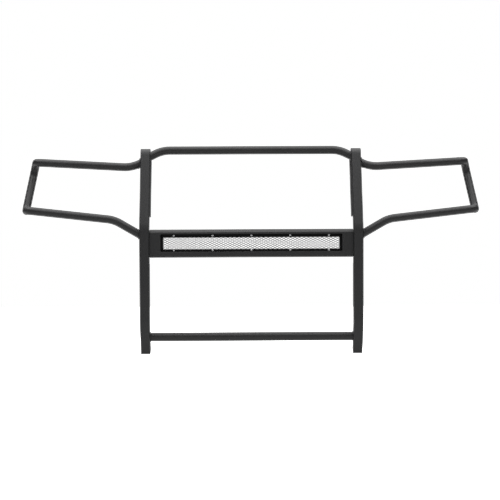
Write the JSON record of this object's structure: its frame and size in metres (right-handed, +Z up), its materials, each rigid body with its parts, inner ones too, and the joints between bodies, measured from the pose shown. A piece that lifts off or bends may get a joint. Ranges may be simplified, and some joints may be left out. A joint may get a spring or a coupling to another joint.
{
  "type": "front grille guard",
  "caption": "Full-width truck grille guard: bent uprights, cross tubes, looped brush guards and a mesh-fronted light housing.",
  "frame": {"origin": "bottom centre of the guard's box, midway between the uprights", "axes": "+X to the right in a view of the front, the front faces -Y, +Z up"},
  "size_m": [2.026, 0.2866, 0.9135],
  "materials": {
    "black_powder_coat": "satin textured black powder coat on steel",
    "black_mesh": "matt black coated expanded metal",
    "zinc_bolts": "zinc-plated steel",
    "stainless_screws": "bright stainless steel"
  },
  "bodies": {
    "root": {"left_upright": "black_powder_coat", "left_top_cap": "black_powder_coat", "left_bottom_cap": "black_powder_coat", "left_rear_plate": "black_powder_coat", "left_brush_guard": "black_powder_coat", "left_brush_upper_flange": "black_powder_coat", "left_brush_lower_flange": "black_powder_coat", "left_upper_strap": "black_powder_coat", "left_lower_strap": "black_powder_coat", "left_bottom_strap": "black_powder_coat", "left_housing_end": "black_powder_coat", "left_frame_bracket": "black_powder_coat", "right_upright": "black_powder_coat", "right_top_cap": "black_powder_coat", "right_bottom_cap": "black_powder_coat", "right_rear_plate": "black_powder_coat", "right_brush_guard": "black_powder_coat", "right_brush_upper_flange": "black_powder_coat", "right_brush_lower_flange": "black_powder_coat", "right_upper_strap": "black_powder_coat", "right_lower_strap": "black_powder_coat", "right_bottom_strap": "black_powder_coat", "right_housing_end": "black_powder_coat", "right_frame_bracket": "black_powder_coat", "top_cross_tube": "black_powder_coat", "bottom_cross_tube": "black_powder_coat", "light_housing": "black_powder_coat", "mesh_frame": "black_mesh", "mesh_panel": "black_mesh", "left_upper_strap_bolt_1": "zinc_bolts", "left_upper_strap_bolt_2": "zinc_bolts", "left_lower_strap_bolt_1": "zinc_bolts", "left_lower_strap_bolt_2": "zinc_bolts", "left_bottom_strap_bolt_1": "zinc_bolts", "left_bottom_strap_bolt_2": "zinc_bolts", "left_housing_end_bolt_1": "zinc_bolts", "left_housing_end_bolt_2": "zinc_bolts", "left_frame_bracket_bolt_1": "zinc_bolts", "left_frame_bracket_bolt_2": "zinc_bolts", "right_upper_strap_bolt_1": "zinc_bolts", "right_upper_strap_bolt_2": "zinc_bolts", "right_lower_strap_bolt_1": "zinc_bolts", "right_lower_strap_bolt_2": "zinc_bolts", "right_bottom_strap_bolt_1": "zinc_bolts", "right_bottom_strap_bolt_2": "zinc_bolts", "right_housing_end_bolt_1": "zinc_bolts", "right_housing_end_bolt_2": "zinc_bolts", "right_frame_bracket_bolt_1": "zinc_bolts", "right_frame_bracket_bolt_2": "zinc_bolts", "mesh_screw_01": "stainless_screws", "mesh_screw_02": "stainless_screws", "mesh_screw_03": "stainless_screws", "mesh_screw_04": "stainless_screws", "mesh_screw_05": "stainless_screws", "mesh_screw_06": "stainless_screws", "mesh_screw_07": "stainless_screws", "mesh_screw_08": "stainless_screws", "mesh_screw_09": "stainless_screws", "mesh_screw_10": "stainless_screws"}
  },
  "joints": []
}
